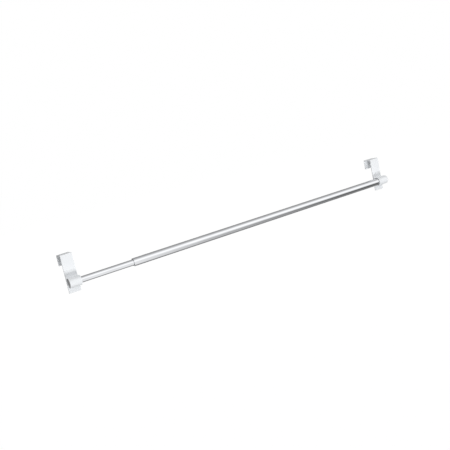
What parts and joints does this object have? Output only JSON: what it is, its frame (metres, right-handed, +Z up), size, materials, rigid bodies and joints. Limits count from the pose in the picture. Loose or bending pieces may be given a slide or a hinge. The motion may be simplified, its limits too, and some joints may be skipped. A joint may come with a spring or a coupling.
{
  "type": "extendable hook-over rail",
  "caption": "Slim telescopic chrome rail carried by two white hook brackets that hang over the top edge of a board, door or sash.",
  "frame": {"origin": "middle of the left hook's seat, the flat underside of its top web that rests on the board's top edge", "axes": "+X along the rail from the left bracket to the right one, +Y from the user towards the board, +Z up"},
  "size_m": [0.7934, 0.0427, 0.0738],
  "materials": {
    "white_coating": "smooth satin white coating",
    "chrome": "bright chrome plate",
    "white_plastic": "smooth moulded white",
    "grey_nylon": "fine matt moulded nylon"
  },
  "bodies": {
    "left_bracket": {"left_hook_bracket": "white_coating", "left_reducer_bush": "grey_nylon"},
    "inner_rod": {"inner_tube": "chrome", "inner_tube_end_plug": "grey_nylon", "sliding_guide_plug": "grey_nylon"},
    "collar": {"friction_collar": "white_plastic"},
    "outer_rod": {"outer_tube": "chrome", "mouth_guide_bush": "grey_nylon", "right_end_cap": "white_plastic"},
    "right_bracket": {"right_hook_bracket": "white_coating"}
  },
  "joints": [
    {"name": "left_hook_swivel", "type": "hinge", "parent": "left_bracket", "child": "inner_rod", "pos_m": [0, -0.0216, -0.0491], "axis": [1, 0, 0], "continuous": true},
    {"name": "tube_twist", "type": "hinge", "parent": "inner_rod", "child": "collar", "pos_m": [0.5505, -0.0216, -0.0491], "axis": [1, 0, 0], "continuous": true},
    {"name": "telescope", "type": "slide", "parent": "collar", "child": "outer_rod", "axis": [1, 0, 0], "range_m": [-0.107, 0.408]},
    {"name": "right_hook_swivel", "type": "hinge", "parent": "outer_rod", "child": "right_bracket", "pos_m": [0.766, -0.0216, -0.0491], "axis": [1, 0, 0], "continuous": true}
  ]
}
